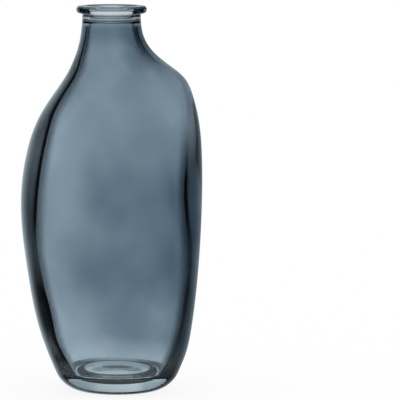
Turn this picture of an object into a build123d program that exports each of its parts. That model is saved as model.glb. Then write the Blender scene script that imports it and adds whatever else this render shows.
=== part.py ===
"""Bottle vase of thick blown glass with a lopsided body, in millimetres, +Z up.

The origin is on the axis of the neck, on the surface that the vase stands on. The body leans
over to +X: its right shoulder is high and square, its left shoulder is low and sloping. Every
girth is a circle, set between the left and the right outline of the vase.

The glass is divided where a glassmaker names its zones: lip, collar, neck, shoulder, upper and
lower body, heel and base. Neighbours meet face to face.
"""

import os
from collections import namedtuple
from math import cos, hypot, radians, tan

from build123d import *

# Foot: a turned shape about its own upright axis, with a rounded heel, a wall that leans
# outwards, a flat ring to stand on and a shallow push-up inside the ring
foot_centre = 4.2
standing_radius = 24.5
ring_width = 4.0
push_up_depth = 2.4
heel_radius = 22.0
heel_lean = 23.0

# Floor of the hollow: its wall leans out more than the heel does, and a low disc stands in the
# middle, with a gutter round it
hollow_lean = 28.0
hollow_rise = 7.5
floor_corner_radius = 3.0
gutter_width = 3.5
disc_rise = 2.0
disc_slope_width = 4.0

# Outlines of the body above the heel: the rise of each level over the one below, and its reach
# to the left and to the right of the neck axis
hip_rise = 23.5
hip_left = 52.5
hip_right = 58.3
flank_rise = 43.0
flank_left = 61.2
flank_right = 63.2
belly_rise = 52.0
belly_left = 65.8
belly_right = 65.8
chest_rise = 35.0
chest_left = 61.2
chest_right = 65.5
low_shoulder_rise = 25.0
low_shoulder_left = 52.2
low_shoulder_right = 62.8
shoulder_rise = 18.0
shoulder_left = 40.6
shoulder_right = 58.0
high_shoulder_rise = 12.0
high_shoulder_left = 32.6
high_shoulder_right = 50.9
neck_root_rise = 10.0
neck_root_left = 27.7
neck_root_right = 37.6
neck_foot_rise = 12.0
neck_foot_left = 23.6
neck_foot_right = 26.0
neck_rise = 10.0
neck_left = 21.9
neck_right = 22.1
collar_rise = 12.5
collar_radius = 21.1

# Thickness of the glass, square to its outside: thickest round the belly, and thinner on the
# high right shoulder, where the glass was blown out furthest
base_thickness = 14.0
heel_wall = 9.8
hip_wall = 9.0
flank_wall = 9.5
belly_wall = 12.0
chest_left_wall = 12.0
chest_right_wall = 10.5
low_shoulder_left_wall = 9.0
low_shoulder_right_wall = 8.5
shoulder_left_wall = 7.5
shoulder_right_wall = 6.0
high_shoulder_left_wall = 6.5
high_shoulder_right_wall = 5.0
neck_root_wall = 5.0
neck_wall = 4.0

# Lip and mouth: how far the lip stands out over the collar, and the wall left round the bore
lip_overhang = 4.4
lip_thickness = 5.5
lip_edge_radius = 2.5
mouth_edge_radius = 1.6
collar_wall = 4.9
bore_depth = 9.8

# Places where one zone of the glass ends: the lower body below the belly, the upper body above
# it, and the shoulder above the root of the neck
lower_body_below_belly = 37.0
upper_body_above_belly = 45.0
shoulder_above_neck_root = 8.0

# Number of steps from one girth circle to the next, from the heel up to the lip
girths = 40

# Foot, worked out: where the leaning wall meets the table, the top of the heel and the hollow
heel_height = base_thickness + hollow_rise
outside_slope = tan(radians(heel_lean))
inside_slope = tan(radians(hollow_lean))
foot_radius = standing_radius + heel_radius * tan(radians(90 - heel_lean) / 2)
heel_reach = foot_radius + heel_height * outside_slope
hollow_foot = heel_reach - heel_wall / cos(radians(heel_lean))
hollow_corner = hollow_foot - hollow_rise * inside_slope
disc_foot = hollow_corner - gutter_width
disc_radius = disc_foot - disc_slope_width
disc_height = base_thickness + disc_rise
push_up_radius = standing_radius - ring_width

# Lip and mouth, worked out: the round of the lip's edge leaves a flat band, even on a thin lip
lip_radius = collar_radius + lip_overhang
bore_radius = collar_radius - collar_wall
most_rounding = 0.48
lip_rounding = min(lip_edge_radius, most_rounding * lip_thickness)

# Levels of the outside, from the top of the heel to the underside of the lip
Level = namedtuple("Level", "height left right")
steps = [
    (heel_height, heel_reach - foot_centre, heel_reach + foot_centre),
    (hip_rise, hip_left, hip_right),
    (flank_rise, flank_left, flank_right),
    (belly_rise, belly_left, belly_right),
    (chest_rise, chest_left, chest_right),
    (low_shoulder_rise, low_shoulder_left, low_shoulder_right),
    (shoulder_rise, shoulder_left, shoulder_right),
    (high_shoulder_rise, high_shoulder_left, high_shoulder_right),
    (neck_root_rise, neck_root_left, neck_root_right),
    (neck_foot_rise, neck_foot_left, neck_foot_right),
    (neck_rise, neck_left, neck_right),
    (collar_rise, collar_radius, collar_radius),
]
outside_levels = []
height = 0
for rise, left, right in steps:
    height += rise
    outside_levels.append(Level(height, left, right))

belly_height = outside_levels[3].height
neck_root_height = outside_levels[8].height
lip_underside = outside_levels[-1].height
ledge_height = lip_underside + lip_thickness - bore_depth
lower_body_top = belly_height - lower_body_below_belly
upper_body_top = belly_height + upper_body_above_belly
shoulder_top = neck_root_height + shoulder_above_neck_root


def inside_of(index, left_wall, right_wall):
    """The level inside outside_levels[index], with the walls measured square to the outside."""
    below = outside_levels[index - 1]
    here = outside_levels[index]
    above = outside_levels[index + 1]
    climb = above.height - below.height
    left_inset = left_wall * hypot(1, (above.left - below.left) / climb)
    right_inset = right_wall * hypot(1, (above.right - below.right) / climb)
    return Level(here.height, here.left - left_inset, here.right - right_inset)


def girth_levels(levels, slope):
    """Levels at even heights, read off smooth outlines that start at the given slope."""
    bottom = levels[0]
    top = levels[-1]
    left_points = [(-level.left, 0, level.height) for level in levels]
    right_points = [(level.right, 0, level.height) for level in levels]
    left_outline = Spline(*left_points, tangents=[(-slope, 0, 1), (0, 0, 1)])
    right_outline = Spline(*right_points, tangents=[(slope, 0, 1), (0, 0, 1)])
    smooth = [bottom]
    for index in range(1, girths):
        level_height = bottom.height + (top.height - bottom.height) * index / girths
        cut = Plane.XY.offset(level_height)
        smooth.append(Level(level_height, -(left_outline & cut).X, (right_outline & cut).X))
    smooth.append(top)
    return smooth


# Levels of the hollow, from the top of the heel to the ledge where the bore of the mouth begins,
# and straight on from there
throat_radius = collar_radius - neck_wall
inside_levels = [
    Level(heel_height, hollow_foot - foot_centre, hollow_foot + foot_centre),
    inside_of(1, hip_wall, hip_wall),
    inside_of(2, flank_wall, flank_wall),
    inside_of(3, belly_wall, belly_wall),
    inside_of(4, chest_left_wall, chest_right_wall),
    inside_of(5, low_shoulder_left_wall, low_shoulder_right_wall),
    inside_of(6, shoulder_left_wall, shoulder_right_wall),
    inside_of(7, high_shoulder_left_wall, high_shoulder_right_wall),
    inside_of(8, neck_root_wall, neck_root_wall),
    inside_of(9, neck_wall, neck_wall),
    inside_of(10, neck_wall, neck_wall),
    Level(lip_underside, throat_radius, throat_radius),
]

os.makedirs("parts", exist_ok=True)

# The outside above the heel, up to the underside of the lip
with BuildPart() as outside:
    for level in girth_levels(outside_levels, outside_slope):
        with BuildSketch(Plane.XY.offset(level.height)):
            with Locations(((level.right - level.left) / 2, 0)):
                Circle((level.left + level.right) / 2)
    loft()

# The hollow above the heel
with BuildPart() as hollow:
    for level in girth_levels(inside_levels, inside_slope):
        with BuildSketch(Plane.XY.offset(level.height)):
            with Locations(((level.right - level.left) / 2, 0)):
                Circle((level.left + level.right) / 2)
    loft()

# Lip: the flat rounded rim round the mouth, standing out over the neck
with BuildPart() as lip:
    with BuildSketch(Plane.XY.offset(lip_underside)):
        Circle(lip_radius)
        Circle(bore_radius, mode=Mode.SUBTRACT)
    extrude(amount=lip_thickness)
    rims = lip.edges().filter_by(GeomType.CIRCLE).group_by(SortBy.RADIUS)
    fillet(rims[0].sort_by(Axis.Z)[-1], mouth_edge_radius)
    rims = lip.edges().filter_by(GeomType.CIRCLE).group_by(SortBy.RADIUS)
    fillet(rims[-1], lip_rounding)
lip.part.label = "lip"
export_step(lip.part, "parts/lip.step")

# Collar: the short length of neck round the bore of the mouth, from the lip down to the ledge
with BuildPart() as collar:
    add(outside.part)
    split(bisect_by=Plane.XY.offset(ledge_height), keep=Keep.TOP)
    with BuildSketch(Plane.XY.offset(ledge_height)):
        Circle(bore_radius)
    extrude(amount=bore_depth, mode=Mode.SUBTRACT)
collar.part.label = "collar"
export_step(collar.part, "parts/collar.step")

# Neck: the thin wall below the ledge, flaring where it runs into the shoulder
with BuildPart() as neck_hollow:
    add(hollow.part)
    split(bisect_by=Plane.XY.offset(ledge_height), keep=Keep.BOTTOM)
    split(bisect_by=Plane.XY.offset(shoulder_top), keep=Keep.TOP)
with BuildPart() as neck:
    add(outside.part)
    split(bisect_by=Plane.XY.offset(ledge_height), keep=Keep.BOTTOM)
    split(bisect_by=Plane.XY.offset(shoulder_top), keep=Keep.TOP)
    add(neck_hollow.part, mode=Mode.SUBTRACT)
neck.part.label = "neck"
export_step(neck.part, "parts/neck.step")

# Shoulder: high and square on the right, low and sloping on the left
with BuildPart() as shoulder_hollow:
    add(hollow.part)
    split(bisect_by=Plane.XY.offset(shoulder_top), keep=Keep.BOTTOM)
    split(bisect_by=Plane.XY.offset(upper_body_top), keep=Keep.TOP)
with BuildPart() as shoulder:
    add(outside.part)
    split(bisect_by=Plane.XY.offset(shoulder_top), keep=Keep.BOTTOM)
    split(bisect_by=Plane.XY.offset(upper_body_top), keep=Keep.TOP)
    add(shoulder_hollow.part, mode=Mode.SUBTRACT)
shoulder.part.label = "shoulder"
export_step(shoulder.part, "parts/shoulder.step")

# Upper body: the thickest wall, round the widest girth
with BuildPart() as upper_body_hollow:
    add(hollow.part)
    split(bisect_by=Plane.XY.offset(upper_body_top), keep=Keep.BOTTOM)
    split(bisect_by=Plane.XY.offset(lower_body_top), keep=Keep.TOP)
with BuildPart() as upper_body:
    add(outside.part)
    split(bisect_by=Plane.XY.offset(upper_body_top), keep=Keep.BOTTOM)
    split(bisect_by=Plane.XY.offset(lower_body_top), keep=Keep.TOP)
    add(upper_body_hollow.part, mode=Mode.SUBTRACT)
upper_body.part.label = "upper_body"
export_step(upper_body.part, "parts/upper_body.step")

# Lower body: the wall that draws in towards the heel
with BuildPart() as lower_body_hollow:
    add(hollow.part)
    split(bisect_by=Plane.XY.offset(lower_body_top), keep=Keep.BOTTOM)
with BuildPart() as lower_body:
    add(outside.part)
    split(bisect_by=Plane.XY.offset(lower_body_top), keep=Keep.BOTTOM)
    add(lower_body_hollow.part, mode=Mode.SUBTRACT)
lower_body.part.label = "lower_body"
export_step(lower_body.part, "parts/lower_body.step")

# Heel: the rounded lower wall, with the flat ring that the vase stands on and the edge of the floor
foot_plane = Plane((foot_centre, 0, 0), x_dir=(1, 0, 0), z_dir=(0, -1, 0))
foot_axis = Axis((foot_centre, 0, 0), (0, 0, 1))
with BuildPart() as heel:
    with BuildSketch(foot_plane) as heel_section:
        with BuildLine():
            Polyline(
                (disc_radius, disc_height),
                (push_up_radius, disc_height),
                (push_up_radius, 0),
                (foot_radius, 0),
                (heel_reach, heel_height),
                (hollow_foot, heel_height),
                (hollow_corner, base_thickness),
                (disc_foot, base_thickness),
            )
            Spline((disc_foot, base_thickness), (disc_radius, disc_height), tangents=[(-1, 0), (-1, 0)])
        make_face()
        fillet(heel_section.vertices().sort_by_distance((foot_centre + foot_radius, 0, 0))[0], heel_radius)
        corner = (foot_centre + hollow_corner, 0, base_thickness)
        fillet(heel_section.vertices().sort_by_distance(corner)[0], floor_corner_radius)
    revolve(axis=foot_axis)
heel.part.label = "heel"
export_step(heel.part, "parts/heel.step")

# Base: the thick floor inside the standing ring, hollowed underneath by the push-up
with BuildPart() as base:
    with BuildSketch(foot_plane):
        with BuildLine():
            TangentArc((0, push_up_depth), (push_up_radius, 0), tangent=(1, 0))
            Polyline(
                (push_up_radius, 0),
                (push_up_radius, disc_height),
                (0, disc_height),
                (0, push_up_depth),
            )
        make_face()
    revolve(axis=foot_axis)
base.part.label = "base"
export_step(base.part, "parts/base.step")
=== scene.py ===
import math
from collections import namedtuple

import bpy
import numpy as np
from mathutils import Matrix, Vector


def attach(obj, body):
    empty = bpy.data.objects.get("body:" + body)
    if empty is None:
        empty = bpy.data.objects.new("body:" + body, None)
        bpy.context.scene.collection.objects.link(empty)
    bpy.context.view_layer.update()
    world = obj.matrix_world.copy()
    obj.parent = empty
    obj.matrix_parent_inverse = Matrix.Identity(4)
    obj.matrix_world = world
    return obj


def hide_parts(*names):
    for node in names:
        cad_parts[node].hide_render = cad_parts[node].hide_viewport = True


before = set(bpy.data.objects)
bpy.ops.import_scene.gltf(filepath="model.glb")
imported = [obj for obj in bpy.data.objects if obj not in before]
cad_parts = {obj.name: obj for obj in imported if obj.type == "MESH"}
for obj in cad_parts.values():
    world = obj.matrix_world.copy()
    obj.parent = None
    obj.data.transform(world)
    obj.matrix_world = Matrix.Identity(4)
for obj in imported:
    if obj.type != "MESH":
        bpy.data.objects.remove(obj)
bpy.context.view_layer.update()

# Vessel: one thick piece of blown soda-lime glass, with a lopsided body, a short neck and a flat
# rounded lip. Its outside was shaped in a mould; the hollow was blown and is a little wavy. It is
# drawn as rings, in millimetres, from the underside over the lip to the floor of the hollow.
mm = 0.001
right_angle = math.pi / 2
ring_sides = 96
Ring = namedtuple("Ring", "centre radius height")
rings = []

# Bands of rings: the first ring, the end, and the place of their glass in the list of materials.
# Clear glass is at place 0, and faces outside the bands have it
lacquered, hollow_wall, steep, thick_floor = 1, 2, 3, 4
bands = []

# Underside: the push-up, the flat ring that stands on the table, then the round of the heel
foot_centre = 4.2
push_up_radius = 20.5
push_up_depth = 2.4
push_up_rings = 10
standing_radius = 24.5
standing_margin = 1.0
heel_radius = 22.0
heel_lean = math.radians(23)
heel_steps = 10


def arc_rings(centre, middle_radius, middle_height, arc_radius, start, end, steps):
    """Rings along an arc of the section, from the start angle to the end angle."""
    found = []
    for angle in np.linspace(start, end, steps + 1):
        radius = middle_radius + arc_radius * math.cos(angle)
        found.append(Ring(centre, radius, middle_height + arc_radius * math.sin(angle)))
    return found


for share in np.linspace(1 / push_up_rings, 1, push_up_rings):
    height = push_up_depth * (1 + math.cos(math.pi * share)) / 2
    rings.append(Ring(foot_centre, share * push_up_radius, height))
rings.append(Ring(foot_centre, standing_radius - standing_margin, 0.0))
first_lacquered = len(rings)
rings += arc_rings(
    foot_centre, standing_radius, heel_radius, heel_radius, -right_angle, -heel_lean, heel_steps)

# Outside wall: its reach to the left and to the right of the neck axis at each height, and how
# thick the glass is there
base_thickness = 14.0
hollow_rise = 7.5
heel_wall = 9.8
neck_wall = 4.0
collar_radius = 21.1
lip_underside = 274.5
wall_steps = 60
heel_height = base_thickness + hollow_rise
foot_radius = standing_radius + heel_radius * math.tan((right_angle - heel_lean) / 2)
heel_reach = foot_radius + heel_height * math.tan(heel_lean)
Level = namedtuple("Level", "height left right left_wall right_wall")
levels = [
    Level(heel_height, heel_reach - foot_centre, heel_reach + foot_centre, heel_wall, heel_wall),
    Level(45.0, 52.5, 58.3, 9.0, 9.0),
    Level(88.0, 61.2, 63.2, 9.5, 9.5),
    Level(140.0, 65.8, 65.8, 12.0, 12.0),
    Level(175.0, 61.2, 65.5, 12.0, 10.5),
    Level(200.0, 52.2, 62.8, 9.0, 8.5),
    Level(218.0, 40.6, 58.0, 7.5, 6.0),
    Level(230.0, 32.6, 50.9, 6.5, 5.0),
    Level(240.0, 27.7, 37.6, 5.0, 5.0),
    Level(252.0, 23.6, 26.0, neck_wall, neck_wall),
    Level(262.0, 21.9, 22.1, neck_wall, neck_wall),
    Level(lip_underside, collar_radius, collar_radius, neck_wall, neck_wall),
]
heights = [level.height for level in levels]


def smooth_curve(reaches, first_slope, wanted):
    """A cubic spline through the reaches of the levels, with its slope given at the first of them
    and upright at the last, read at the wanted heights."""
    count = len(heights)
    gaps = np.diff(heights)
    rises = np.diff(reaches) / gaps
    matrix = np.eye(count)
    target = np.zeros(count)
    target[0] = first_slope
    for i in range(1, count - 1):
        matrix[i, i - 1:i + 2] = gaps[i], 2 * (gaps[i - 1] + gaps[i]), gaps[i - 1]
        target[i] = 3 * (gaps[i] * rises[i - 1] + gaps[i - 1] * rises[i])
    slopes = np.linalg.solve(matrix, target)
    found = []
    for height in wanted:
        i = int(np.clip(np.searchsorted(heights, height) - 1, 0, count - 2))
        along = (height - heights[i]) / gaps[i]
        reach = reaches[i] + (reaches[i + 1] - reaches[i]) * along * along * (3 - 2 * along)
        reach += slopes[i] * gaps[i] * along * (1 - along) ** 2
        reach -= slopes[i + 1] * gaps[i] * along * along * (1 - along)
        found.append(reach)
    return found


def wall_rings(lefts, rights, first_slope):
    """Rings at even heights between a left and a right outline."""
    wanted = np.linspace(heights[0], heights[-1], wall_steps + 1)
    lefts = smooth_curve(lefts, first_slope, wanted)
    rights = smooth_curve(rights, first_slope, wanted)
    found = []
    for left, right, height in zip(lefts, rights, wanted):
        found.append(Ring((right - left) / 2, (right + left) / 2, height))
    return found


outside_lefts = [level.left for level in levels]
outside_rights = [level.right for level in levels]
rings += wall_rings(outside_lefts, outside_rights, math.tan(heel_lean))[:-1]

# Lip: a small cove under it, its rounded edge and its flat top, then the rounded edge of the mouth
lip_radius = 25.5
lip_thickness = 5.5
lip_edge_radius = 2.5
lip_edge_steps = 6
cove_radius = 1.0
cove_steps = 4
bore_radius = 16.2
mouth_edge_radius = 1.6
mouth_edge_steps = 5
lip_top = lip_underside + lip_thickness
cove_middle = collar_radius + cove_radius
edge_middle = lip_radius - lip_edge_radius
mouth_middle = bore_radius + mouth_edge_radius


def add_steep_rings(new_rings):
    """Adds the rings of a steep part, with a glass of its own up to the last of them."""
    bands.append((len(rings), len(rings) + len(new_rings) - 1, steep))
    rings.extend(new_rings)


rings += arc_rings(
    0, cove_middle, lip_underside - cove_radius, cove_radius, math.pi, right_angle, cove_steps)
rings += arc_rings(
    0, edge_middle, lip_underside + lip_edge_radius, lip_edge_radius, -right_angle, 0, lip_edge_steps)
rings += arc_rings(
    0, edge_middle, lip_top - lip_edge_radius, lip_edge_radius, 0, right_angle, lip_edge_steps)
bands.append((first_lacquered, len(rings), lacquered))
add_steep_rings(arc_rings(
    0, mouth_middle, lip_top - mouth_edge_radius, mouth_edge_radius,
    right_angle, math.pi, mouth_edge_steps))

# Bore of the mouth with two fine grooves, the ledge that the lip tool leaves under it, and a wider
# groove at the top of the throat
groove_heights = (275.6, 273.5)
groove_depth = 0.8
groove_half_width = 0.65
groove_half_bottom = 0.1
ledge_height = 270.2
ledge_edge_radius = 0.6
ledge_edge_steps = 3
throat_radius = collar_radius - neck_wall
throat_groove_height = 268.9
throat_groove_depth = 1.2
throat_groove_half_width = 1.0
throat_groove_half_bottom = 0.2


def groove_rings(wall_radius, height, depth, half_width, half_bottom):
    """Rings of a groove that is sunk into the wall, from its upper edge to its lower edge."""
    upper_edge = Ring(0, wall_radius, height + half_width)
    upper_bottom = Ring(0, wall_radius + depth, height + half_bottom)
    lower_bottom = Ring(0, wall_radius + depth, height - half_bottom)
    lower_edge = Ring(0, wall_radius, height - half_width)
    return [upper_edge, upper_bottom, lower_bottom, lower_edge]


for groove_height in groove_heights:
    add_steep_rings(groove_rings(
        bore_radius, groove_height, groove_depth, groove_half_width, groove_half_bottom))
ledge_middle = bore_radius + ledge_edge_radius
ledge_corner = ledge_height + ledge_edge_radius
rings += arc_rings(
    0, ledge_middle, ledge_corner, ledge_edge_radius, math.pi, 3 * right_angle, ledge_edge_steps)
add_steep_rings(groove_rings(
    throat_radius, throat_groove_height, throat_groove_depth,
    throat_groove_half_width, throat_groove_half_bottom))

# Hollow: the thickness is measured square to the outside, so it counts for more where that slopes
hollow_lean = math.radians(28)
throat_margin = 0.6
hollow_foot = heel_reach - heel_wall / math.cos(heel_lean)
hollow_lefts = [hollow_foot - foot_centre]
hollow_rights = [hollow_foot + foot_centre]
for below, here, above in zip(levels, levels[1:], levels[2:]):
    climb = above.height - below.height
    left_slope = (above.left - below.left) / climb
    right_slope = (above.right - below.right) / climb
    hollow_lefts.append(here.left - here.left_wall * math.hypot(1, left_slope))
    hollow_rights.append(here.right - here.right_wall * math.hypot(1, right_slope))
hollow_lefts.append(throat_radius)
hollow_rights.append(throat_radius)
hollow_top = throat_groove_height - throat_groove_half_width - throat_margin
first_inside = len(rings)
for ring in reversed(wall_rings(hollow_lefts, hollow_rights, math.tan(hollow_lean))):
    if ring.height < hollow_top:
        rings.append(ring)
last_inside = len(rings)
bands.append((first_inside, last_inside, hollow_wall))

# Floor: the round corner at the foot of the hollow, a gutter and a low raised disc
floor_corner_radius = 3.0
floor_corner_steps = 6
gutter_width = 3.5
disc_rise = 2.0
disc_slope_width = 4.0
disc_slope_steps = 6
disc_shares = (0.93, 0.85, 0.55, 0.25, 0.06)
hollow_corner = hollow_foot - hollow_rise * math.tan(hollow_lean)
corner_middle = hollow_corner - floor_corner_radius * math.tan((right_angle - hollow_lean) / 2)
add_steep_rings(arc_rings(
    foot_centre, corner_middle, base_thickness + floor_corner_radius, floor_corner_radius,
    -hollow_lean, -right_angle, floor_corner_steps))
disc_foot = hollow_corner - gutter_width
disc_radius = disc_foot - disc_slope_width
slope_rings = []
for share in np.linspace(0, 1, disc_slope_steps + 1):
    rise = disc_rise * share * share * (3 - 2 * share)
    slope_rings.append(Ring(foot_centre, disc_foot - share * disc_slope_width, base_thickness + rise))
disc_rings = [Ring(foot_centre, share * disc_radius, base_thickness + disc_rise) for share in disc_shares]
add_steep_rings(slope_rings + disc_rings[:1])
first_floor = len(rings) - 1
rings += disc_rings[1:]
bands.append((first_floor, len(rings), thick_floor))

# A circle of the underside, drawn out ring by ring over the lip and down to the middle of the floor
bpy.ops.object.select_all(action="DESELECT")
first = rings[0]
bpy.ops.mesh.primitive_circle_add(vertices=ring_sides, radius=first.radius * mm)
vase = bpy.context.object
vase.name = "glass_vase"
bpy.ops.object.mode_set(mode="EDIT")
bpy.ops.mesh.select_mode(type="EDGE")
bpy.ops.mesh.select_all(action="SELECT")
bpy.ops.transform.translate(value=(first.centre * mm, 0, first.height * mm))
for before, ring in zip(rings, rings[1:]):
    move = ((ring.centre - before.centre) * mm, 0, (ring.height - before.height) * mm)
    bpy.ops.mesh.extrude_edges_move(TRANSFORM_OT_translate={"value": move})
    spread = ring.radius / before.radius
    middle = (ring.centre * mm, 0, ring.height * mm)
    bpy.ops.transform.resize(value=(spread, spread, 1), center_override=middle)
bpy.ops.mesh.select_all(action="SELECT")
bpy.ops.mesh.fill_holes(sides=0)
bpy.ops.mesh.select_all(action="SELECT")
bpy.ops.mesh.normals_make_consistent(inside=False)
bpy.ops.object.mode_set(mode="OBJECT")


def linear(hex_colour):
    """The linear colour of an sRGB hex value."""
    parts = [int(hex_colour[i:i + 2], 16) / 255 for i in (0, 2, 4)]
    return [c / 12.92 if c <= 0.04045 else ((c + 0.055) / 1.055) ** 2.4 for c in parts] + [1]


def new_material(name):
    """A material with no nodes yet."""
    material = bpy.data.materials.new(name)
    material.use_nodes = True
    material.node_tree.nodes.clear()
    return material


def add_node(tree, kind, settings=None, links=None):
    """Adds a node, sets its options and sockets, and links its inputs."""
    node = tree.nodes.new(kind)
    for name, value in (settings or {}).items():
        if isinstance(name, str) and hasattr(node, name):
            setattr(node, name, value)
        else:
            node.inputs[name].default_value = value
    for name, source in (links or {}).items():
        tree.links.new(source, node.inputs[name])
    return node


# Polished soda-lime glass: smooth, and mirrors a little. The bore, the gutter and the underside are
# as clear as water. The floor of the hollow is seen through its whole thickness and is a little grey
white = (1, 1, 1, 1)
polished_glass = {"Transmission Weight": 1, "IOR": 1.5, "Roughness": 0}


def plain_glass(name, colour):
    """Polished glass of one colour."""
    material = new_material(name)
    tree = material.node_tree
    glass = add_node(tree, "ShaderNodeBsdfPrincipled", {"Base Color": colour, **polished_glass})
    add_node(tree, "ShaderNodeOutputMaterial", {}, {"Surface": glass.outputs["BSDF"]})
    return material


clear_glass = plain_glass("clear_soda_lime_glass", white)
floor_glass = plain_glass("clear_glass_thick_floor", linear("A9B8BD"))

# Transparent smoke-blue lacquer, sprayed on the outside of the glass and baked: it colours what
# shows through. Its film is thick round the middle, thin at the foot and the lip, and uneven in patches
# of 45 mm. Its colour also holds painted shade on the right and painted light on the left and at one place
# on the high shoulder
# A place on the high shoulder with painted light: the lacquer colour is paler there, and the wall's painted
# edge shade is gone
lit_shoulder_place = (52 * mm, 0, 215 * mm)
thickest_height = 112 * mm
belly_height = 150 * mm
patch_size = 45 * mm
pale_film = linear("A0B6C4")
deep_film = linear("254055")
thinnest_film = linear("B8CAD2")
smooth = {"interpolation_type": "SMOOTHSTEP"}

# Sockets of a Mix node, which share their names: its share, its two colours and their mix
mix_share, mix_first, mix_second, mix_result = 0, 6, 7, 2


def distance_to_lit_shoulder_place(tree, place):
    """How far a point is from the lit place on the high shoulder, looked at from the front."""
    from_front = add_node(tree, "ShaderNodeVectorMath", {"operation": "MULTIPLY", 1: (1, 0, 1)}, {
        0: place.outputs["Object"]})
    distance = add_node(tree, "ShaderNodeVectorMath", {"operation": "DISTANCE", 1: lit_shoulder_place}, {
        0: from_front.outputs[0]})
    return distance.outputs["Value"]


def gap_from(tree, coordinate, value):
    """How far a coordinate is from a value, to either side."""
    difference = add_node(tree, "ShaderNodeMath", {"operation": "SUBTRACT", 1: value}, {0: coordinate})
    gap = add_node(tree, "ShaderNodeMath", {"operation": "ABSOLUTE"}, {0: difference.outputs[0]})
    return gap.outputs[0]


lacquer_glass_with_painted_shade = new_material("smoke_blue_lacquer_with_painted_shade")
tree = lacquer_glass_with_painted_shade.node_tree
place = add_node(tree, "ShaderNodeTexCoord")
spot = add_node(tree, "ShaderNodeSeparateXYZ", {}, {"Vector": place.outputs["Object"]})
sideways = spot.outputs["X"]
upwards = spot.outputs["Z"]

# Spray: thickest at one height; on the left below the shoulder the colour is paler, as painted light
middle_film = add_node(tree, "ShaderNodeMapRange", {
    **smooth, "From Max": 100 * mm, "To Min": 0.71, "To Max": 0.45}, {
    "Value": gap_from(tree, upwards, thickest_height)})
left_painted_light = add_node(tree, "ShaderNodeMapRange", {
    **smooth, "From Min": -58 * mm, "From Max": 10 * mm, "To Min": -0.28, "To Max": 0.02}, {
    "Value": sideways})
below_shoulder = add_node(tree, "ShaderNodeMapRange", {
    **smooth, "From Min": 180 * mm, "From Max": 220 * mm, "To Min": 1, "To Max": 0}, {"Value": upwards})
spray_and_left_light = add_node(tree, "ShaderNodeMath", {"operation": "MULTIPLY_ADD"}, {
    0: left_painted_light.outputs[0], 1: below_shoulder.outputs[0], 2: middle_film.outputs[0]})

# Patches where the film ran together, and a little more of it on the neck
patches = add_node(tree, "ShaderNodeTexNoise", {
    "Scale": 1 / patch_size, "Detail": 2, "Roughness": 0.4}, {"Vector": place.outputs["Object"]})
patch_film = add_node(tree, "ShaderNodeMapRange", {
    "From Min": 0.25, "From Max": 0.75, "To Min": -0.2, "To Max": 0.2}, {"Value": patches.outputs["Fac"]})
neck_film = add_node(tree, "ShaderNodeMapRange", {
    **smooth, "From Min": 242 * mm, "From Max": 262 * mm, "To Max": 0.12}, {"Value": upwards})
uneven = add_node(tree, "ShaderNodeMath", {"operation": "ADD"}, {
    0: patch_film.outputs[0], 1: neck_film.outputs[0]})

# Right side: painted shade, a darker colour past a line that leans towards the neck, most above and
# below the belly, and taken away near the lit place on the high shoulder, which is painted light
right_start = add_node(tree, "ShaderNodeMapRange", {
    **smooth, "From Min": 195 * mm, "From Max": 250 * mm, "To Min": 34 * mm, "To Max": 0}, {
    "Value": upwards})
past_start = add_node(tree, "ShaderNodeMath", {"operation": "SUBTRACT"}, {
    0: sideways, 1: right_start.outputs[0]})
most_right_shade = add_node(tree, "ShaderNodeMapRange", {
    **smooth, "From Min": 40 * mm, "From Max": 100 * mm, "To Min": 0.14, "To Max": 0.26}, {
    "Value": gap_from(tree, upwards, belly_height)})
right_painted_shade = add_node(tree, "ShaderNodeMapRange", {**smooth, "From Min": 0, "From Max": 18 * mm}, {
    "Value": past_start.outputs[0], "To Max": most_right_shade.outputs[0]})
off_lit_shoulder_place = add_node(tree, "ShaderNodeMapRange", {
    **smooth, "From Min": 18 * mm, "From Max": 50 * mm}, {"Value": distance_to_lit_shoulder_place(tree, place)})
sided = add_node(tree, "ShaderNodeMath", {"operation": "MULTIPLY_ADD"}, {
    0: right_painted_shade.outputs[0], 1: off_lit_shoulder_place.outputs[0], 2: uneven.outputs[0]})
# Depth of the film colour: the spray and its patches, with the painted shade on the right and the painted
# light on the left
depth = add_node(tree, "ShaderNodeMath", {"operation": "ADD"}, {
    0: spray_and_left_light.outputs[0], 1: sided.outputs[0]})
film = add_node(tree, "ShaderNodeMix", {
    "data_type": "RGBA", mix_first: pale_film, mix_second: deep_film}, {mix_share: depth.outputs[0]})

# Ends: the film thins out on the foot and on the lip. At the left and right of the foot its darker colour
# stays, as painted shade
above_foot = add_node(tree, "ShaderNodeMapRange", {
    **smooth, "From Min": 14 * mm, "From Max": 33 * mm}, {"Value": upwards})
at_foot = add_node(tree, "ShaderNodeMapRange", {
    **smooth, "From Min": 9 * mm, "From Max": 17 * mm, "To Min": 0.95, "To Max": 0}, {"Value": upwards})
foot_sides_painted_shade = add_node(tree, "ShaderNodeMapRange", {
    **smooth, "From Min": 12 * mm, "From Max": 21 * mm}, {
    "Value": gap_from(tree, sideways, foot_centre * mm), "To Max": at_foot.outputs[0]})
foot_film_and_side_shade = add_node(tree, "ShaderNodeMath", {"operation": "MAXIMUM"}, {
    0: above_foot.outputs[0], 1: foot_sides_painted_shade.outputs[0]})
below_lip = add_node(tree, "ShaderNodeMapRange", {
    **smooth, "From Min": 264 * mm, "From Max": 271 * mm, "To Min": 1, "To Max": 0.42}, {"Value": upwards})
covered = add_node(tree, "ShaderNodeMath", {"operation": "MULTIPLY"}, {
    0: foot_film_and_side_shade.outputs[0], 1: below_lip.outputs[0]})
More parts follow.
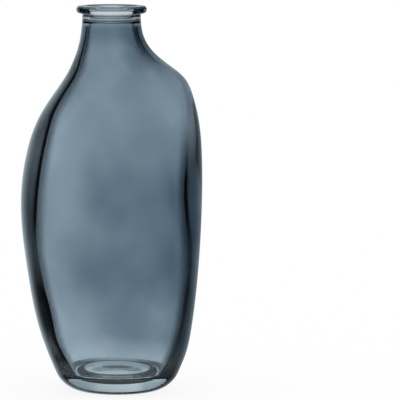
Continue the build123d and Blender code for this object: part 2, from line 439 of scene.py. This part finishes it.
# The pale foot and lip, with the painted shade at the foot's sides
thinned = add_node(tree, "ShaderNodeMix", {"data_type": "RGBA", mix_first: thinnest_film}, {
    mix_share: covered.outputs[0], mix_second: film.outputs[mix_result]})
glass = add_node(tree, "ShaderNodeBsdfPrincipled", polished_glass, {
    "Base Color": thinned.outputs[mix_result]})
add_node(tree, "ShaderNodeOutputMaterial", {}, {"Surface": glass.outputs["BSDF"]})

# Wall of the hollow: the same clear glass with painted shade. Where it is met at a slant it is mixed with
# black, a painted shade that stands for the dark room seen along the edge of the glass, and that draws the
# dark line inside the outline. The line changes with the height and from left to right, and the lit place
# on the high shoulder has none, as painted light
turning_slant = 0.25
side_blend = 15 * mm

# Stops of the painted shade by height, as a share of the vase's own, for the left and for the right: how
# much light is left where the wall turns it back into the glass, and the least light that the painted shade
# leaves anywhere
left_turned_shade = [
    (0.09, 0), (0.13, 0.25), (0.18, 0.03), (0.28, 0.05), (0.36, 0.3), (0.47, 0.22), (0.62, 0.4),
    (0.8, 0.3), (0.95, 1)]
right_turned_shade = [(0.07, 0), (0.12, 0.5), (0.25, 0.5), (0.36, 1), (0.44, 0.95), (0.55, 0.65), (0.95, 1)]
left_shade_limit = [
    (0.08, 0.1), (0.1, 0), (0.27, 0), (0.34, 0.13), (0.4, 0.13), (0.46, 0), (0.93, 0), (0.955, 0.3)]
right_shade_limit = [
    (0.08, 0.1), (0.12, 0.22), (0.18, 0.17), (0.26, 0.1), (0.34, 0.27), (0.4, 0.3), (0.46, 0),
    (0.93, 0), (0.955, 0.3)]


def set_stops(ramp, stops):
    """Gives a ramp its stops, each a place and a level of grey."""
    elements = ramp.color_ramp.elements
    while len(elements) < len(stops):
        elements.new(0.5)
    for element, (position, level) in zip(elements, stops):
        element.position = position
        element.color = (level, level, level, 1)


def share_by_height(tree, spot, left_stops, right_stops):
    """A share that follows the height by its stops for the left and for the right of the vase."""
    rise = add_node(tree, "ShaderNodeMath", {"operation": "DIVIDE", 1: lip_top * mm}, {
        0: spot.outputs["Z"]})
    left_share = add_node(tree, "ShaderNodeValToRGB", {}, {"Fac": rise.outputs[0]})
    set_stops(left_share, left_stops)
    right_share = add_node(tree, "ShaderNodeValToRGB", {}, {"Fac": rise.outputs[0]})
    set_stops(right_share, right_stops)
    to_right = add_node(tree, "ShaderNodeMapRange", {
        **smooth, "From Min": -side_blend, "From Max": side_blend}, {"Value": spot.outputs["X"]})
    share = add_node(tree, "ShaderNodeMix", {"data_type": "RGBA"}, {
        mix_share: to_right.outputs[0],
        mix_first: left_share.outputs["Color"],
        mix_second: right_share.outputs["Color"]})
    return share.outputs[mix_result]


def glass_with_painted_edge_shade(name, hollow_stops, glass_stops):
    """Clear glass mixed with black by its slant, as painted shade, with stops for light from the hollow
    and for light from the glass."""
    material = new_material(name)
    tree = material.node_tree
    place = add_node(tree, "ShaderNodeTexCoord")
    spot = add_node(tree, "ShaderNodeSeparateXYZ", {}, {"Vector": place.outputs["Object"]})
    slant = add_node(tree, "ShaderNodeLayerWeight", {"Blend": 0.5})

    # Painted shade on light from the hollow, drawn wider in the narrow neck
    widening = add_node(tree, "ShaderNodeMapRange", {
        **smooth, "From Min": 220 * mm, "From Max": 250 * mm, "To Min": 1, "To Max": 1.3}, {
        "Value": spot.outputs["Z"]})
    widened_slant = add_node(tree, "ShaderNodeMath", {"operation": "MULTIPLY"}, {
        0: slant.outputs["Facing"], 1: widening.outputs[0]})
    from_hollow = add_node(tree, "ShaderNodeValToRGB", {}, {"Fac": widened_slant.outputs[0]})
    set_stops(from_hollow, hollow_stops)

    # Painted shade on light from the glass: past the turning slant the wall turns it back, and the shade
    # follows the height and the side too
    from_glass = add_node(tree, "ShaderNodeValToRGB", {}, {"Fac": slant.outputs["Facing"]})
    set_stops(from_glass, glass_stops)
    turned = add_node(tree, "ShaderNodeMath", {"operation": "GREATER_THAN", 1: turning_slant}, {
        0: slant.outputs["Facing"]})
    shaded = add_node(tree, "ShaderNodeMix", {"data_type": "RGBA", "blend_type": "MULTIPLY"}, {
        mix_share: turned.outputs[0],
        mix_first: from_glass.outputs["Color"],
        mix_second: share_by_height(tree, spot, left_turned_shade, right_turned_shade)})

    # Both together, with the least share of light, and no painted shade at the lit place on the shoulder
    meeting = add_node(tree, "ShaderNodeNewGeometry")
    either = add_node(tree, "ShaderNodeMix", {"data_type": "RGBA"}, {
        mix_share: meeting.outputs["Backfacing"],
        mix_first: from_hollow.outputs["Color"],
        mix_second: shaded.outputs[mix_result]})
    edge = add_node(tree, "ShaderNodeMix", {"data_type": "RGBA", "blend_type": "LIGHTEN", mix_share: 1}, {
        mix_first: either.outputs[mix_result],
        mix_second: share_by_height(tree, spot, left_shade_limit, right_shade_limit)})
    away_from_lit_place = add_node(tree, "ShaderNodeMapRange", {
        **smooth, "From Min": 12 * mm, "From Max": 60 * mm}, {"Value": distance_to_lit_shoulder_place(tree, place)})
    clearness = add_node(tree, "ShaderNodeMix", {"data_type": "RGBA", mix_first: white}, {
        mix_share: away_from_lit_place.outputs[0], mix_second: edge.outputs[mix_result]})
    # Black stands for the dark room that the glass shows at its edge: painted shade
    shade = add_node(tree, "ShaderNodeBsdfDiffuse", {"Color": (0, 0, 0, 1)})
    glass = add_node(tree, "ShaderNodeBsdfPrincipled", {"Base Color": white, **polished_glass})
    both = add_node(tree, "ShaderNodeMixShader", {}, {
        "Fac": clearness.outputs[mix_result], 1: shade.outputs["BSDF"], 2: glass.outputs["BSDF"]})
    add_node(tree, "ShaderNodeOutputMaterial", {}, {"Surface": both.outputs["Shader"]})
    return material


wall_glass_with_painted_shade = glass_with_painted_edge_shade(
    "clear_glass_hollow_wall_painted_shade",
    [(0.52, 1), (0.65, 0.55), (0.76, 0.17), (0.86, 0)],
    [(0.245, 1), (0.255, 0), (0.27, 0.03), (0.295, 0.7), (0.4, 1)])

# Steep parts: the edge of the mouth, the grooves, the corner of the floor and the slope of its disc
# are the same glass, small and sharply curved, with stronger painted shade, so they show as dark lines
steep_glass_with_painted_shade = glass_with_painted_edge_shade(
    "clear_glass_steep_parts_painted_shade",
    [(0, 0.8), (0.4, 0.3), (0.9, 0.1)],
    [(0.2, 1), (0.26, 0.03)])

# Each band of rings gets its glass, in the order of the places that the bands name
for material in (clear_glass, lacquer_glass_with_painted_shade, wall_glass_with_painted_shade, steep_glass_with_painted_shade, floor_glass):
    vase.data.materials.append(material)
for face in vase.data.polygons:
    ring_number = min(face.vertices) // ring_sides
    for start, end, glass_place in bands:
        if start <= ring_number < end:
            face.material_index = glass_place

# Waves of the blown wall, fading out towards the throat and the floor
wave_size = 45.0
wave_height = 1.6
fade_rings = 8
waves = vase.vertex_groups.new(name="blown_wall")
for ring_number in range(first_inside, last_inside):
    from_end = min(ring_number - first_inside, last_inside - 1 - ring_number)
    members = range(ring_number * ring_sides, (ring_number + 1) * ring_sides)
    waves.add(members, min(1, from_end / fade_rings), "REPLACE")
cloud = bpy.data.textures.new("blown_waves", "CLOUDS")
cloud.noise_scale = wave_size * mm
cloud.noise_depth = 0
modifier = vase.modifiers.new("waves", "DISPLACE")
modifier.texture = cloud
modifier.texture_coords = "LOCAL"
modifier.vertex_group = waves.name
modifier.strength = wave_height * mm
modifier.mid_level = 0.5
bpy.ops.object.modifier_apply(modifier=modifier.name)
modifier = vase.modifiers.new("rounding", "SUBSURF")
modifier.levels = 1
modifier.render_levels = 1
bpy.ops.object.modifier_apply(modifier=modifier.name)
bpy.ops.object.shade_smooth()
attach(vase, "root")
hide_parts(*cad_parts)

# Floor: a plain white studio table, wide enough to reach past the view. The glass shows it as
# white, and the vase's soft shadow lies on it.
table_size = 16
shadow_share = 0.12
at_least_once = 0.5
bpy.ops.object.select_all(action="DESELECT")
bpy.ops.mesh.primitive_plane_add(size=table_size)
floor = bpy.context.object
floor.name = "studio_table"

# Matt white paint: it glows as white as the room, apart from the share that takes the shadow. Light
# that the glass mirrors passes through it, so that it comes from the room alone
table_paint = new_material("matt_white_table")
tree = table_paint.node_tree
path = add_node(tree, "ShaderNodeLightPath")
mirrored = add_node(tree, "ShaderNodeMath", {"operation": "GREATER_THAN", 1: at_least_once}, {
    0: path.outputs["Glossy Depth"]})
bright = add_node(tree, "ShaderNodeMath", {"operation": "MAXIMUM", 1: 1 - shadow_share}, {
    0: path.outputs["Is Transmission Ray"]})
matt = add_node(tree, "ShaderNodeBsdfDiffuse", {"Color": white})
glow = add_node(tree, "ShaderNodeEmission", {"Color": white, "Strength": 1})
table = add_node(tree, "ShaderNodeMixShader", {}, {
    "Fac": bright.outputs[0], 1: matt.outputs["BSDF"], 2: glow.outputs["Emission"]})
gone = add_node(tree, "ShaderNodeBsdfTransparent")
both = add_node(tree, "ShaderNodeMixShader", {}, {
    "Fac": mirrored.outputs[0], 1: table.outputs["Shader"], 2: gone.outputs["BSDF"]})
add_node(tree, "ShaderNodeOutputMaterial", {}, {"Surface": both.outputs["Shader"]})
floor.data.materials.append(table_paint)

# Studio: an even white room, with a white backdrop behind the vase and a white screen on its left.
# The outer face of the glass mirrors the backdrop, a little blue, and less of it on the right.
# Light that is mirrored inside the glass comes from the screen and from the table.
world = bpy.data.worlds.new("white_studio")
bpy.context.scene.world = world
world.use_nodes = True
tree = world.node_tree
tree.nodes.clear()
path = add_node(tree, "ShaderNodeLightPath")
mirrored = add_node(tree, "ShaderNodeMath", {"operation": "GREATER_THAN", 1: at_least_once}, {
    0: path.outputs["Glossy Depth"]})
inside = add_node(tree, "ShaderNodeMath", {"operation": "GREATER_THAN", 1: at_least_once}, {
    0: path.outputs["Transmission Depth"]})
direction = add_node(tree, "ShaderNodeTexCoord")
along = add_node(tree, "ShaderNodeSeparateXYZ", {}, {"Vector": direction.outputs["Generated"]})

# Light mirrored inside the glass
screen = add_node(tree, "ShaderNodeMapRange", {
    **smooth, "From Min": -0.5, "From Max": 0.6, "To Min": 1, "To Max": 0.7}, {
    "Value": along.outputs["X"]})
from_table = add_node(tree, "ShaderNodeMapRange", {
    **smooth, "From Min": -0.6, "From Max": -0.2, "To Min": 0.9, "To Max": 0}, {
    "Value": along.outputs["Z"]})
inner_light = add_node(tree, "ShaderNodeMath", {"operation": "MAXIMUM"}, {
    0: screen.outputs[0], 1: from_table.outputs[0]})

# Light mirrored by the outer face, with a small share of the table's
table_share = 0.12
backdrop = add_node(tree, "ShaderNodeMapRange", {
    **smooth, "From Min": 0.62, "From Max": 1, "To Min": 0.03, "To Max": 1.1}, {
    "Value": along.outputs["Y"]})
less_on_right = add_node(tree, "ShaderNodeMapRange", {
    **smooth, "From Min": -0.3, "From Max": 0.3, "To Min": 1, "To Max": 0.4}, {
    "Value": along.outputs["X"]})
sided_backdrop = add_node(tree, "ShaderNodeMath", {"operation": "MULTIPLY"}, {
    0: backdrop.outputs[0], 1: less_on_right.outputs[0]})
outer_light = add_node(tree, "ShaderNodeMath", {"operation": "MULTIPLY_ADD", 1: table_share}, {
    0: from_table.outputs[0], 2: sided_backdrop.outputs[0]})

# Light that isn't mirrored is plain white. The two numbers of a Mix node have sockets of their own
number_first, number_second = 2, 3
mirrored_light = add_node(tree, "ShaderNodeMix", {"data_type": "FLOAT"}, {
    mix_share: inside.outputs[0],
    number_first: outer_light.outputs[0],
    number_second: inner_light.outputs[0]})
light = add_node(tree, "ShaderNodeMix", {"data_type": "FLOAT", number_first: 1}, {
    mix_share: mirrored.outputs[0], number_second: mirrored_light.outputs[0]})
outer = add_node(tree, "ShaderNodeMath", {"operation": "SUBTRACT"}, {
    0: mirrored.outputs[0], 1: inside.outputs[0]})
tint = add_node(tree, "ShaderNodeMix", {
    "data_type": "RGBA", mix_first: white, mix_second: linear("CDE2EC")}, {mix_share: outer.outputs[0]})
room = add_node(tree, "ShaderNodeBackground", {}, {
    "Color": tint.outputs[mix_result], "Strength": light.outputs[0]})
add_node(tree, "ShaderNodeOutputWorld", {}, {"Surface": room.outputs["Background"]})

# Camera: a long lens, a little above the middle of the vase, as in the photograph. Its shift puts
# the middle of the vase on the photograph's own pixel.
aim = Vector((0, 0, 0.14))
aim_pixel = (111.5, 198.4)
camera_rise = math.radians(6.2)
distance = 2.6
image_pixels = 400
pixels_per_metre = 1377.6
sensor_width = 36
camera_data = bpy.data.cameras.new("camera")
camera = bpy.data.objects.new("camera", camera_data)
bpy.context.scene.collection.objects.link(camera)
back = Vector((0, -math.cos(camera_rise), math.sin(camera_rise)))
camera.location = aim + back * distance
camera.rotation_mode = "QUATERNION"
camera.rotation_quaternion = (-back).to_track_quat("-Z", "Y")
camera_data.sensor_width = sensor_width
camera_data.lens = sensor_width * distance / (image_pixels / pixels_per_metre)
camera_data.shift_x = (image_pixels / 2 - aim_pixel[0]) / image_pixels
camera_data.shift_y = (aim_pixel[1] - image_pixels / 2) / image_pixels
bpy.context.scene.camera = camera
bpy.context.scene.view_settings.view_transform = "Standard"
